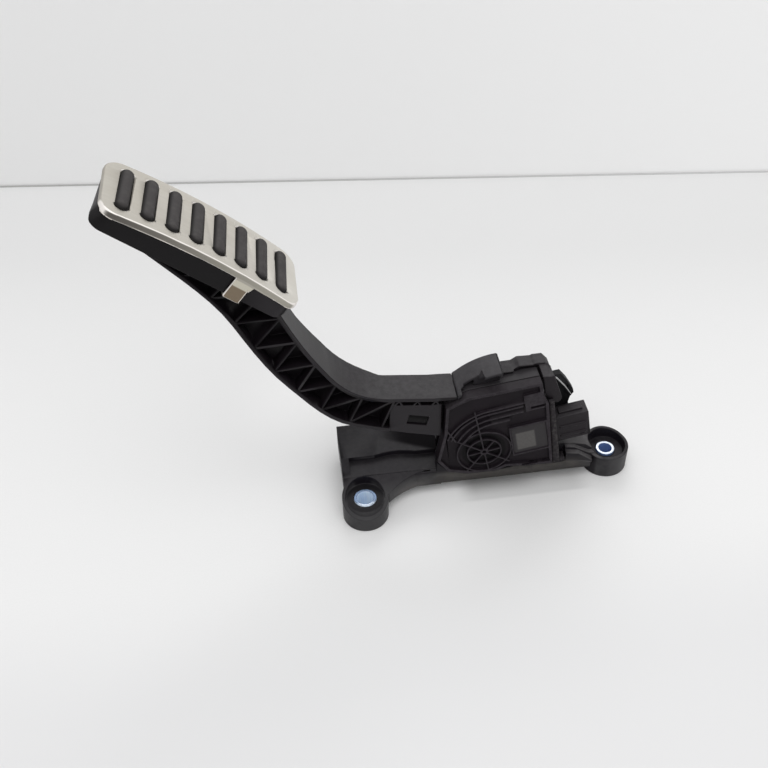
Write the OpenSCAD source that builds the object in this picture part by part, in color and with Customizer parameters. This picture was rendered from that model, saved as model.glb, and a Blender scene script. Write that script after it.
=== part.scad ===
// Accelerator pedal module: truss-ribbed arm, metal tread plate, sensor housing on three feet.
// Millimetres, +Z up. The origin is the centre of the right-hand fixing sleeve at the mounting face.

/* [Tread] */
// Length of the tread plate along its curve
pad_l = 114; // [100:1:124]
// Width of the tread plate
pad_w = 47; // [44:0.5:54]
// Corner radius of the tread plate
pad_corner = 9.5; // [7:0.5:12]
// Radius of the tread's lengthwise curve
pad_bend_r = 410; // [300:10:900]
// Sheet thickness of the tread plate
plate_t = 1.4; // [1:0.1:2]
// Depth of the plate's turned-down rim
rim_d = 3.4; // [2.6:0.1:4.5]
// Slope of the tread below level, in degrees
pad_slope = 39; // [34:1:44]
// Place of the tread's middle along X
pad_x = -233.3; // [-240:0.5:-228]
// Height of the tread's middle
pad_z = 210; // [205:0.5:216]
// Number of rubber bars
bar_n = 8; // [5:1:8]
// Distance from bar to bar
bar_pitch = 13.1; // [11.5:0.1:13.3]
// Margin between a rubber bar's end and the plate's edge
bar_margin = 5.4; // [4:0.1:7]
// Lean of the bars across the tread, in degrees
bar_lean = 2; // [0:0.5:3]
// Width of a rubber bar
bar_w = 7.4; // [5:0.2:8.6]
// Height of a bar's crown above the plate
bar_h = 1.7; // [0.8:0.1:2.5]
// Thickness of the rubber mat below the plate
mat_t = 2.2; // [1.5:0.1:3]
// Width of the plate's bent holding tabs
tab_w = 11; // [8:0.5:13]

/* [Arm] */
// Width of the arm's flanges
arm_w = 22; // [20:0.5:24]
// Thickness of the arm's flanges
flange_t = 2.6; // [2:0.1:3.2]
// Thickness of the arm's middle web
web_t = 3; // [2:0.5:5]
// Thickness of a truss rib
rib_t = 1.5; // [1.1:0.1:2.2]
// Distance between truss ribs along the flanges
rib_pitch = 19.8; // [16:0.4:24]
// Depth of the tread carrier's skirt below the tread
skirt_d = 17; // [15:0.5:19]
// Wall of the tread carrier's skirt
skirt_t = 2.2; // [1.6:0.1:3]

/* [Pivot] */
// Place of the pivot along X
pivot_x = -85; // [-87:0.5:-83]
// Height of the pivot
pivot_z = 35; // [34:0.5:36]
// Radius of the pivot shaft
shaft_r = 4; // [3:0.25:4.5]
// Running clearance of the shaft in its bushes
shaft_gap = 0.05; // [0.02:0.01:0.09]
// Wall of a pivot bush
bush_t = 1.8; // [1.4:0.1:2.2]
// Radius of the arm's drum
drum_r = 17; // [15:0.5:18]

/* [Housing] */
// Wall of the pivot housing
wall = 2.5; // [2:0.1:3]
// Front of the pivot housing's near wall along Y
near_wall_y = -5.5; // [-6:0.1:-5]
// Back of the pivot housing's tray along Y
tray_y = 9; // [8.5:0.1:10]
// Thickness of the far side cover
side_t = 3; // [2:0.2:4]
// Front of the sensor cover's ribs along Y
cover_y = -13; // [-14:0.1:-12.6]
// Depth of the cover's ribs
spider_d = 1.9; // [1.2:0.1:2.4]
// Thickness of the sensor cover's face
face_t = 1.5; // [1.2:0.1:2]
// Thickness of the cover's seal
seal_t = 0.8; // [0.4:0.1:1]
// Thickness of the cover's spider ribs
spider_t = 0.9; // [0.6:0.1:1.4]
// Radius of the spider's inner ring
ring_in_r = 10.8; // [9:0.2:12]
// Radius of the spider's outer ring
ring_out_r = 17.2; // [15:0.2:18]
// Number of short spokes in the spider's inner ring
spoke_n = 8; // [6:1:10]
// Tilt of the connector and the label field, in degrees
sensor_tilt = 10; // [7:1:13]

/* [Base] */
// Height of the base's lower edge above the mounting face
skirt_z = 8; // [6:0.5:9]
// Height of the deck at its back edge
deck_z = 26.5; // [25:0.5:29]
// Height of the shelf in front of the deck
shelf_z = 21.8; // [20:0.2:23]
// Wall of the base moulding
base_t = 3; // [2.2:0.2:3.6]
// Left wall of the base along X
base_left = -175; // [-178:0.5:-172]
// Back wall of the base along Y
base_back = 33; // [30:0.5:36]
// Front wall of the base along Y
base_front = -11.5; // [-12:0.1:-10.5]

/* [Feet] */
// Place of the near left foot along X
foot_a_x = -162.5; // [-164:0.5:-161]
// Place of the near left foot along Y
foot_a_y = -22.3; // [-24:0.1:-21]
// Place of the far left foot along X
foot_b_x = -138; // [-145:0.5:-132]
// Place of the far left foot along Y
foot_b_y = 38; // [36:0.5:42]
// Outer radius of a foot
foot_r = 14.6; // [13.6:0.1:15.4]
// Height of a foot's rim
foot_h = 16.5; // [15.4:0.1:18]
// Radius of the recess for a screw's head
recess_r = 12.4; // [11.4:0.1:12.8]
// Outer radius of a fixing sleeve
sleeve_r = 6.1; // [5.5:0.1:7]
// Hole radius of the two round sleeves
hole_r = 4.25; // [3.5:0.05:4.8]
// Outer radius of the near left sleeve
wide_sleeve_r = 7.2; // [6.8:0.1:8]
// Hole radius of the near left sleeve
wide_hole_r = 5.3; // [4.9:0.05:5.8]
// Length of a fixing sleeve
sleeve_l = 12.6; // [12:0.1:13.5]
// Length of the near left sleeve
wide_sleeve_l = 15.5; // [15:0.1:16]

/* [Springs] */
// Place of the return springs along X
spring_x = -61; // [-62.5:0.5:-60.5]
// Mean radius of the outer spring
spring_r = 4.9; // [4.6:0.1:5]
// Wire of the outer spring
wire_d = 1.8; // [1.2:0.1:1.9]
// Mean radius of the inner spring
inner_r = 2.7; // [2.4:0.05:2.8]
// Wire of the inner spring
inner_d = 1.1; // [0.8:0.1:1.3]
// Turns of the outer spring
turns = 6; // [4:0.5:7]
// Turns of the inner spring
inner_turns = 8; // [5:0.5:10]

/* [Connector] */
// Length of the connector's shroud
plug_l = 21; // [17:0.5:23]
// Height of the connector's shroud
plug_h = 20.5; // [18:0.5:22]
// Depth of the connector's shroud along Y
plug_w = 11; // [10:0.5:12]
// Wall of the connector's shroud
plug_t = 1.5; // [1.2:0.1:1.9]
// Number of connector pins
pin_n = 6; // [3:1:6]

/* [Hidden] */
$fn = 48;
eps = 0.02;
gap = 0.2;

// Side views are drawn in X and Z and given their depth from y0 to y1.
module slab(y0, y1) {
    translate([0, y1, 0]) rotate([90, 0, 0]) linear_extrude(y1 - y0) children();
}

// A round bar along Y from y0 to y1 at a side-view place.
module axle(x, z, r, y0, y1) {
    translate([x, y1, z]) rotate([90, 0, 0]) cylinder(r = r, h = y1 - y0);
}

module rounded_rect(l, w, r) {
    square([l - 2 * r, w], center = true);
    square([l, w - 2 * r], center = true);
    for (sx = [-1, 1], sy = [-1, 1]) translate([sx * (l / 2 - r), sy * (w / 2 - r)]) circle(r);
}

// A strip of width t from point a to point b in a side view.
module strip(a, b, t) {
    d = b - a;
    n = [-d[1], d[0]] / norm(d) * t / 2;
    polygon([a + n, a - n, b - n, b + n]);
}

// Curves: one cubic stretch, a chain of them, a parallel line and a walk along a line.
function cubic(p, t) = pow(1 - t, 3) * p[0] + 3 * t * pow(1 - t, 2) * p[1]
    + 3 * t * t * (1 - t) * p[2] + pow(t, 3) * p[3];
function stretch(p, n) = [for (i = [0:n - 1]) cubic(p, i / n)];
function side_normal(p, i) = let (
        a = p[max(i - 1, 0)],
        b = p[min(i + 1, len(p) - 1)],
        d = (b - a) / norm(b - a)
    ) [-d[1], d[0]];
function parallel(p, d) = [for (i = [0:len(p) - 1]) p[i] + side_normal(p, i) * d];
function backwards(p) = [for (i = [len(p) - 1:-1:0]) p[i]];
function walk(p, d, i = 0) = let (s = norm(p[i + 1] - p[i]))
    (d <= s || i >= len(p) - 2) ? p[i] + (p[i + 1] - p[i]) * d / s : walk(p, d - s, i + 1);

// The tread's own frame: x down along the tread, z out towards the foot.
module tread_frame() {
    translate([pad_x, 0, pad_z]) rotate([0, pad_slope, 0]) children();
}
function on_tread(s, n) = [
    pad_x + s * cos(pad_slope) + n * sin(pad_slope),
    pad_z - s * sin(pad_slope) + n * cos(pad_slope)
];
// Everything within depth d below the tread's curved face.
module under_tread(d) {
    translate([0, 0, -pad_bend_r]) rotate([90, 0, 0])
        cylinder(r = pad_bend_r - d, h = 2 * pad_w, center = true, $fn = 360);
}
module tread_prism(inset, z0, z1) {
    translate([0, 0, z0]) linear_extrude(z1 - z0)
        rounded_rect(pad_l - 2 * inset, pad_w - 2 * inset, pad_corner - inset);
}
module at_bar(i) {
    a = (i - (bar_n - 1) / 2) * bar_pitch / pad_bend_r * 180 / PI;
    translate([0, 0, -pad_bend_r]) rotate([0, a, 0]) translate([0, 0, pad_bend_r])
        rotate([0, 0, -bar_lean]) children();
}
bar_l = pad_w - 2 * bar_margin;
module bar_prism(extra, z0, z1) {
    w = bar_w + 2 * extra;
    translate([0, 0, z0]) linear_extrude(z1 - z0) {
        square([w, bar_l - bar_w], center = true);
        for (s = [-1, 1]) translate([0, s * (bar_l - bar_w) / 2]) circle(d = w);
    }
}

// Sheet tread plate with a turned-down rim, eight slots and three holding tabs.
skirt_gap = 0.3;
skirt_inset = plate_t + skirt_gap;
tab_s = 24;
tab_t = 1.2;
module side_tab() {
    y = -pad_w / 2;
    shoulder_z = -9;
    hook_z = -skirt_d - gap;
    translate([tab_s - tab_w / 2, y, shoulder_z]) cube([tab_w, tab_t, -shoulder_z - rim_d + 1]);
    translate([tab_s - tab_w / 2, y, hook_z - tab_t])
        cube([tab_w - 1.5, tab_t, shoulder_z - hook_z + tab_t + eps]);
    translate([tab_s - tab_w / 2, y, hook_z - tab_t]) cube([tab_w - 1.5, 6, tab_t]);
}
module pad_plate() {
    color([0.86, 0.85, 0.82]) tread_frame() {
        difference() {
            intersection() {
                tread_prism(0, -14, 2);
                difference() {
                    under_tread(0);
                    under_tread(rim_d);
                }
            }
            intersection() {
                tread_prism(plate_t, -14, 2);
                under_tread(plate_t);
            }
            for (i = [0:bar_n - 1]) at_bar(i) bar_prism(0.15, -4, 3);
        }
        side_tab();
        mirror([0, 1, 0]) side_tab();
    }
}

// Rubber mat under the plate with the bars that stand through its slots.
module rubber_insert() {
    crown_r = 7;
    color([0.12, 0.12, 0.12]) tread_frame() {
        intersection() {
            tread_prism(skirt_inset, -14, 2);
            difference() {
                under_tread(plate_t);
                under_tread(plate_t + mat_t);
            }
        }
        for (i = [0:bar_n - 1]) at_bar(i) intersection() {
            bar_prism(0, -plate_t - mat_t / 2, bar_h);
            translate([0, 0, bar_h - crown_r]) rotate([90, 0, 0])
                cylinder(r = crown_r, h = bar_l + 2, center = true);
        }
    }
}

// Side-view outline of the arm: the upper edge and the lower edge, from the tread to the pivot.
top_a = on_tread(-44, -6.7);
top_b = on_tread(20, -5);
top_c = [-205, 166];
top_bend = [-181.5, 116];
top_flat = [-138, 86.8];
top_end = [-118, 84.3];
top_tip = [-103.2, 83.3];
arm_top = concat(
    [top_a],
    stretch([top_b, on_tread(36, -6.5), on_tread(46, -11), top_c], 4),
    stretch([top_c, [-199, 150], [-191, 131], top_bend], 8),
    stretch([top_bend, [-171, 97], [-160, 88.5], top_flat], 9),
    stretch([top_flat, [-131, 85.9], [-125, 85.2], top_end], 2),
    stretch([top_end, [-114, 84.1], [-109, 84], top_tip], 4),
    [top_tip]
);
low_a = on_tread(-46, -16.5);
low_b = [-272, 213];
low_knee = [-228.9, 154.6];
low_turn = [-202.4, 104.7];
low_heel = [-165.5, 68];
low_end = [-112.5, 51];
arm_low = concat(
    [low_a],
    stretch([low_b, [-254.6, 191.4], [-238, 175], low_knee], 7),
    stretch([low_knee, [-219.8, 134.4], [-214, 120.2], low_turn], 5),
    stretch([low_turn, [-190.7, 89], [-182, 74.5], low_heel], 6),
    stretch([low_heel, [-152, 62.5], [-132, 56], low_end], 3),
    [low_end]
);
rib_top = parallel(arm_top, -flange_t / 2);
rib_low = parallel(arm_low, flange_t / 2);
block_x = -144.5;
block_end = -112.5;
drum_near = -2.8;
drum_far = 8.2;

module arm_outline() {
    polygon(concat(arm_top, backwards(arm_low)));
}
module flange_line(p, t) {
    polygon(concat(p, backwards(parallel(p, t))));
}
// The top flange widens on its far side where the arm bends
belly_x = -171;
belly_w = 5.6;
belly_l = 46;
module flange_belly() {
    belly_r = (belly_l * belly_l / 4 + belly_w * belly_w) / (2 * belly_w);
    intersection() {
        slab(0, arm_w / 2 + belly_w + 1) flange_line(arm_top, -flange_t);
        translate([belly_x, arm_w / 2 + belly_w - belly_r, 60]) cylinder(r = belly_r, h = 120);
    }
}
// One zigzag of thin ribs between the flanges, a rib pitch apart.
module truss() {
    top_start = 37.6;
    low_start = 39.1;
    low_pitch = rib_pitch * 1.055;
    count = floor(178 / rib_pitch);
    for (k = [0:count - 1]) {
        a = walk(backwards(rib_top), top_start + k * rib_pitch);
        strip(a, walk(backwards(rib_low), low_start + k * low_pitch), rib_t);
        strip(a, walk(backwards(rib_low), low_start + (k + 1) * low_pitch), rib_t);
    }
}
// Closed side walls where the arm deepens towards the pivot, cored from below.
module arm_block() {
    under_flange = 3.4;
    wall_top = parallel(arm_top, -flange_t - under_flange);
    core_w = arm_w / 2 - 1 - 2.2 - web_t / 2;
    difference() {
        slab(-arm_w / 2 + 0.8, arm_w / 2 - 0.8) intersection() {
            polygon(concat(wall_top, backwards(arm_low)));
            polygon([[block_x + 2, 90], [block_end, 90], [block_end, 40], [block_x - 2, 40]]);
        }
        for (s = [-1, 1]) translate([0, s * (web_t / 2 + core_w / 2), 0])
            slab(-core_w / 2, core_w / 2)
                polygon([[block_x + 3.5, 76], [block_end - 2.4, 73], [block_end - 2.4, 40], [block_x + 1, 40]]);
        // Clip window in the near and the far wall
        slab(-arm_w, arm_w) translate([-127, 66.8]) rotate(-15) square([12.6, 7.2], center = true);
    }
    // Web behind the clip windows
    slab(-web_t / 2, web_t / 2) translate([-127, 66.8]) rotate(-15) square([15, 10], center = true);
    // Small ribs that carry the flange on the block
    for (k = [0:5]) slab(-arm_w / 2 + 0.8, arm_w / 2 - 0.8) {
        x = block_x + 3 + k * 5.6;
        z = 87.6 - (x - block_x) * 0.13;
        strip([x, z - flange_t - under_flange - 1.2], [x + (k % 2 == 0 ? 4 : -2.5), z - flange_t + 0.6], 1.2);
    }
}
// Hollow carrier under the tread, open below, with a rounded nose.
module tread_carrier() {
    deck_t = 2.6;
    nose_r = 7;
    top_d = plate_t + mat_t;
    foot_z = -skirt_d;
    tread_frame() difference() {
        intersection() {
            tread_prism(skirt_inset, foot_z, 2);
            under_tread(top_d);
            slab(-pad_w, pad_w) translate([0, foot_z / 2 + nose_r])
                rounded_rect(pad_l - 2 * skirt_inset, skirt_d + 2 * nose_r, nose_r);
        }
        intersection() {
            tread_prism(skirt_inset + skirt_t, foot_z - 1, 2);
            under_tread(top_d + deck_t);
        }
    }
}
// Drum around the pivot, neck to the block and lever to the springs.
lever_top = 52;
lever_rest = 42;
module arm_hub() {
    slab(drum_near, drum_far) {
        translate([pivot_x, pivot_z]) circle(drum_r);
        polygon([[block_end - 3, 72], [-106, 71], [-94, 62], [pivot_x + 2, lever_top], [pivot_x, 25],
            [-99, 27], [block_end, 51], [block_end - 3, 53]]);
        polygon([[pivot_x - 8, lever_top - 3], [pivot_x, lever_top], [-52, lever_top], [-47, lever_top - 4],
            [-47, lever_rest], [-57, lever_rest], [-69, 30], [pivot_x, 20]]);
    }
}
module pedal_arm() {
    color([0.13, 0.13, 0.13]) difference() {
        union() {
            tread_carrier();
            slab(-web_t / 2, web_t / 2) intersection() {
                arm_outline();
                translate([-300, 30]) square([300 + block_end, 240]);
            }
            slab(-arm_w / 2, arm_w / 2) {
                flange_line(arm_top, -flange_t);
                intersection() {
                    flange_line(arm_low, flange_t);
                    polygon([[-300, 300], [-150, 150], [block_x + 2, 90], [block_x - 2, 40], [-300, 40]]);
                }
            }
            intersection() {
                slab(-arm_w / 2 + 0.5, arm_w / 2 - 0.5) intersection() {
                    truss();
                    arm_outline();
                }
            }
            flange_belly();
            arm_block();
            arm_hub();
        }
        axle(pivot_x, pivot_z, shaft_r + 0.02, drum_near - 1, drum_far + 1);
    }
}

// Steel shaft pressed into the drum, turning in two bushes.
module pivot_shaft() {
    color([0.7, 0.71, 0.73]) difference() {
        axle(pivot_x, pivot_z, shaft_r, near_wall_y - 1.9, tray_y + side_t + 2.4);
        // Groove for the retaining ring
        difference() {
            axle(pivot_x, pivot_z, shaft_r + 1, ring_y, ring_y + ring_t);
            axle(pivot_x, pivot_z, shaft_r - ring_groove, ring_y - 1, ring_y + ring_t + 1);
        }
    }
}
ring_t = 0.8;
ring_groove = 0.5;
ring_y = tray_y + side_t + 0.6;
module shaft_ring() {
    color([0.55, 0.56, 0.58]) difference() {
        axle(pivot_x, pivot_z, shaft_r + 2, ring_y + 0.05, ring_y + ring_t - 0.05);
        axle(pivot_x, pivot_z, shaft_r - ring_groove + 0.02, ring_y - 1, ring_y + ring_t + 1);
        translate([pivot_x - 1.2, ring_y - 1, pivot_z]) cube([2.4, ring_t + 2, shaft_r + 3]);
    }
}
bush_r = shaft_r + shaft_gap + bush_t;
module bush(y0, y1, collar_y0, collar_y1) {
    difference() {
        union() {
            axle(pivot_x, pivot_z, bush_r, y0, y1);
            axle(pivot_x, pivot_z, bush_r + 1.6, collar_y0, collar_y1);
        }
        axle(pivot_x, pivot_z, shaft_r + shaft_gap, y0 - 5, y1 + 5);
    }
}
module near_bush() {
    color([0.62, 0.5, 0.3]) bush(near_wall_y, drum_near - gap, near_wall_y + 2, drum_near - gap);
}
module far_bush() {
    color([0.62, 0.5, 0.3]) bush(drum_far + gap, tray_y + side_t, drum_far + gap, tray_y);
}

// Moulded base: deck, three feet, pivot tray and the neck to the right foot.
housing_line = [
    [-115, skirt_z + 1], [-115, 31], [-110.6, 54], [-110, 75.6], [-105, 79], [-96, 83.4],
    [-52, 89], [-50, 79], [-46.4, 71.5], [-38.5, 17.2], [-36, skirt_z + 1]
];
module cavity_line() {
    polygon([
        [-120, 14], [-120, 74.5], [-107, 74.5], [-101, 76], [-96, 79.6],
        [-54, 85.2], [-51.4, 82.5], [-49, 71], [-45, 40], [-41.5, 18], [-41.5, 14]
    ]);
}
seat_drop = 0.3;
module foot(x, y, pocket_r) {
    translate([x, y, 0]) difference() {
        cylinder(r = foot_r, h = foot_h);
        translate([0, 0, -1]) cylinder(r = pocket_r, h = foot_h);
    }
}
// The near left foot: a seat that stands out of the slope in front and is sunk into it behind.
slope_back = -9.8;
slope_front = foot_a_y - foot_r;
slope_z = 10.3;
module slope_side(z0) {
    translate([base_left - 10, 0, 0]) rotate([90, 0, 90]) linear_extrude(90)
        polygon([[slope_front - 1, z0], [slope_front - 1, slope_z], [slope_front, slope_z],
            [slope_back, shelf_z], [2, shelf_z], [2, z0]]);
}
module near_left_foot() {
    translate([foot_a_x, foot_a_y, 0]) cylinder(r = recess_r - 0.2, h = wide_sleeve_l - seat_drop);
    intersection() {
        translate([foot_a_x, foot_a_y, 0]) cylinder(r = foot_r, h = 40);
        slope_side(0);
    }
}
notch_r = 40;
sweep_r = 48;
module deck() {
    deck_l = -112 - base_left;
    // Upper deck; its front edge fades into the shelf at the left
    difference() {
        translate([base_left, 0, 0]) rotate([90, 0, 90]) linear_extrude(deck_l)
            polygon([[-2, 17], [-2, deck_z - 1.6], [1, deck_z - 0.7], [base_back, deck_z], [base_back, 17]]);
        translate([base_left - 1, -20, 0]) cube([deck_l + 2, 23.5, 60]);
        translate([base_left + 35, 5.6 - notch_r, 0]) cylinder(r = notch_r, h = 60, $fn = 120);
    }
    // Ramp at the left end of the deck's front edge
    translate([base_left, 0, 0]) rotate([90, 0, 90]) linear_extrude(5)
        polygon([[-8, 17], [-8, shelf_z], [3.6, deck_z - 0.6], [6, 17]]);
    // Shelf and front wall
    translate([base_left, 0, 0]) rotate([90, 0, 90]) linear_extrude(deck_l)
        polygon([[base_front, skirt_z], [base_front, shelf_z - 1.6], [base_front + 1.6, shelf_z], [8, shelf_z + 0.6],
            [base_back, shelf_z + 0.6], [base_back, skirt_z]]);
    // Spread of the shelf towards the near left foot
    intersection() {
        difference() {
            translate([base_left, foot_a_y, skirt_z]) cube([52, -foot_a_y - 4, 30]);
            translate([foot_a_x + 48, foot_a_y - 35.4, 0]) cylinder(r = sweep_r, h = 60, $fn = 120);
        }
        slope_side(skirt_z);
    }
}
module base_housing() {
    mid_y = (near_wall_y + tray_y) / 2;
    color([0.12, 0.12, 0.12]) difference() {
        union() {
            difference() {
                deck();
                // Hollow below the deck, with stiffening ribs left standing
                difference() {
                    translate([base_left + base_t, base_front + base_t, 0])
                        rotate([90, 0, 90]) linear_extrude(-112 - base_left - 2 * base_t)
                            polygon([[0, -1], [0, 16.6], [3, shelf_z - base_t],
                                [base_back - base_front - 2 * base_t, shelf_z - base_t],
                                [base_back - base_front - 2 * base_t, -1]]);
                    for (k = [0:3]) translate([base_left + 12 + k * 13, -40, 0]) cube([1.8, 90, 40]);
                    for (k = [0:2]) translate([base_left, -4 + k * 12, 0]) cube([70, 1.8, 40]);
                    translate([foot_a_x, foot_a_y, 0]) cylinder(r = foot_r, h = 40);
                    translate([foot_b_x, foot_b_y, 0]) cylinder(r = foot_r, h = 40);
                }
            }
            near_left_foot();
            foot(foot_b_x, foot_b_y, sleeve_r);
            foot(0, 0, sleeve_r);
            // Pivot tray, open to the back
            difference() {
                slab(near_wall_y, tray_y) polygon(housing_line);
                slab(near_wall_y + wall - 0.5, tray_y + 1) cavity_line();
            }
            // Front apron below the sensor cover
            slab(base_front, near_wall_y + 1)
                polygon([[-115, skirt_z + 1], [-115, 29], [-107.7, 19.5], [-96, 15.5], [-74, 15.5], [-60, 18],
                    [-38, 16], [-30, 17], [-20, 15], [-13, 13], [-13, skirt_z + 1]]);
            // Neck to the right foot with its gusset
            slab(near_wall_y, tray_y)
                polygon([[-40, skirt_z + 1], [-40, 26], [-33, 27], [-24, 26.4], [-16, 24], [-9, foot_h + 0.6],
                    [-9, skirt_z + 1]]);
            slab(-8, near_wall_y + 1)
                polygon([[-30.6, skirt_z + 1], [-30.6, 26.4], [-24, 25], [-14, foot_h + 2], [-9, foot_h],
                    [-9, skirt_z + 1]]);
            slab(-11, -7) polygon([[-30.6, 12], [-30.6, 23.6], [-22, 22], [-12, 14], [-12, 12]]);
            // Shelf that carries the rest stop
            slab(near_wall_y + 1, tray_y) polygon([[-58, 32], [-58, 35], [-43, 35], [-43, 30], [-53, 30]]);
            // Cradle for the friction shoe
            slab(near_wall_y + 1, tray_y) intersection() {
                difference() {
                    translate([pivot_x, pivot_z]) circle(drum_r + shoe_t + 0.6 + 3);
                    translate([pivot_x, pivot_z]) circle(drum_r + shoe_t + 0.6);
                }
                polygon([[pivot_x, pivot_z], [pivot_x - 4, 10], [pivot_x + 16, 10]]);
            }
            // Bosses for the side cover's screws
            for (p = screw_places) axle(p[0], p[1], 3, near_wall_y + 1, tray_y);
            // Spring's head rest and spigot below the roof
            translate([spring_x, spring_y, spring_head + 0.1]) cylinder(r = spring_r + 1.2, h = 4);
            translate([spring_x, spring_y, spring_head - 4])
                cylinder(r = inner_r - inner_d / 2 - 0.25, h = 6);
            // Collar around the near bush
            axle(pivot_x, pivot_z, bush_r + 3, near_wall_y, near_wall_y + 2);
        }
        foot_holes();
        axle(pivot_x, pivot_z, bush_r, near_wall_y - 1, near_wall_y + 4);
        for (p = screw_places) axle(p[0], p[1], 1.3, tray_y - 8, tray_y + 1);
    }
}
module foot_hole(x, y, hole, seat_z) {
    translate([x, y, -1]) cylinder(r = hole, h = 50);
    translate([x, y, seat_z]) cylinder(r1 = recess_r - 1, r2 = recess_r, h = 4);
    translate([x, y, seat_z + 3.9]) cylinder(r = recess_r, h = 50);
}
module foot_holes() {
    translate([foot_a_x, foot_a_y, -1]) cylinder(r = wide_sleeve_r, h = 50);
    translate([foot_a_x, foot_a_y, wide_sleeve_l - seat_drop]) cylinder(r = recess_r, h = 50);
    foot_hole(foot_b_x, foot_b_y, sleeve_r, sleeve_l - 1.4);
    foot_hole(0, 0, sleeve_r, sleeve_l - 1.4);
}
screw_places = [[-105.5, 22], [-46.5, 22], [-51.9, 79.5], [-80, 78.5]];

// Plate that closes the pivot tray on the far side.
module side_cover() {
    color([0.14, 0.14, 0.14]) difference() {
        union() {
            slab(tray_y, tray_y + side_t) polygon([
                [-111.7, skirt_z + 2], [-111.7, 31], [-109, 54], [-108.4, 73], [-97, 81], [-54, 86.4], [-49.4, 83],
                [-47.2, 71], [-39, 17], [-38, skirt_z + 2]
            ]);
            axle(pivot_x, pivot_z, bush_r + 3, tray_y, tray_y + side_t);
            // Stiffening ribs on the outside
            slab(tray_y + side_t - eps, tray_y + side_t + 1.4) difference() {
                union() {
                    for (a = [20:60:320]) translate([pivot_x, pivot_z]) rotate(a)
                        translate([bush_r + 2, -0.8]) square([12, 1.6]);
                    translate([pivot_x, pivot_z]) difference() {
                        circle(bush_r + 14.5);
                        circle(bush_r + 13);
                    }
                }
            }
        }
        axle(pivot_x, pivot_z, bush_r, tray_y - 1, tray_y + side_t + 3);
        for (p = screw_places) axle(p[0], p[1], 1.7, tray_y - 1, tray_y + side_t + 3);
    }
}
module side_cover_screws() {
    color([0.6, 0.6, 0.62]) for (p = screw_places) difference() {
        union() {
            axle(p[0], p[1], 1.25, tray_y - 7, tray_y + side_t + eps);
            axle(p[0], p[1], 2.6, tray_y + side_t, tray_y + side_t + 1.8);
        }
        translate([p[0], tray_y + side_t + 3, p[1]]) rotate([90, 0, 0]) cylinder(r = 1.3, h = 2.4, $fn = 6);
    }
}

module sleeve(x, y, outer, inner, l) {
    color([0.75, 0.78, 0.85]) translate([x, y, 0]) difference() {
        cylinder(r = outer - 0.02, h = l);
        translate([0, 0, -1]) cylinder(r = inner, h = l + 2);
    }
}
module sleeve_near_left() {
    sleeve(foot_a_x, foot_a_y, wide_sleeve_r, wide_hole_r, wide_sleeve_l);
}
module sleeve_far_left() {
    sleeve(foot_b_x, foot_b_y, sleeve_r, hole_r, sleeve_l);
}
module sleeve_right() {
    sleeve(0, 0, sleeve_r, hole_r, sleeve_l);
}

// Everything below the roof line of tray and cover, with a hair's gap.
module below_roof() {
    slab(-30, 40) polygon([
        [-130, 60], [-130, 74], [-110.4, 75.9], [-105, 79.35], [-96, 83.75], [-51.8, 89.35], [-49.8, 79],
        [-46.2, 71.6], [-44.5, 60]
    ]);
}

// Curved hood over the arm's entry.
hood_x = -71;
hood_top = 96;
hood_t = 2;
hood_gap = 0.8;
hood_x0 = top_tip[0] + hood_gap;
hood_x1 = -75.5;
hood_r = 45;
hood_z = hood_top - hood_r;
module hood_ring(y0, y1, x0, x1) {
    slab(y0, y1) intersection() {
        translate([hood_x, hood_z]) difference() {
            circle(hood_r, $fn = 120);
            circle(hood_r - hood_t, $fn = 120);
        }
        translate([x0, hood_z]) square([x1 - x0, hood_r + 1]);
    }
}
module front_hood() {
    far_y = tray_y + side_t - 0.4;
    color([0.16, 0.16, 0.16]) difference() {
        union() {
            hood_ring(-3.2, far_y, hood_x0, hood_x1);
            hood_ring(-11, -3.2, hood_x0, hood_x0 + 2.2);
            hood_ring(-5.4, -3.2, hood_x0, hood_x0 + 4);
            hood_ring(-7.6, -3.2, hood_x1 - 10.6, hood_x1);
            // Far wall and inner wall that stand on the tray's roof
            slab(tray_y - 2, tray_y) intersection() {
                translate([hood_x, hood_z]) circle(hood_r - hood_t + 0.1, $fn = 120);
                polygon([[-97, 82], [-97, 98], [hood_x1, 98], [hood_x1, 84]]);
            }
            slab(-3.2, -1.6) intersection() {
                translate([hood_x, hood_z]) circle(hood_r - hood_t + 0.1, $fn = 120);
                polygon([[-92, 83.4], [-92, 98], [hood_x1, 98], [hood_x1, 85.6]]);
            }
            // Step at the end of the hood
            slab(-7.6, far_y) intersection() {
                translate([hood_x, hood_z]) circle(hood_r - 0.5, $fn = 120);
                translate([hood_x1 - 1.5, hood_z + hood_r - 4.4]) square([2, 6]);
            }
            // Snap lug on the near edge
            slab(-5, -3) polygon([[-89.4, 90.6], [-85.4, 91.6], [-87.6, 97.8]]);
        }
        below_roof();
    }
}

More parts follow.
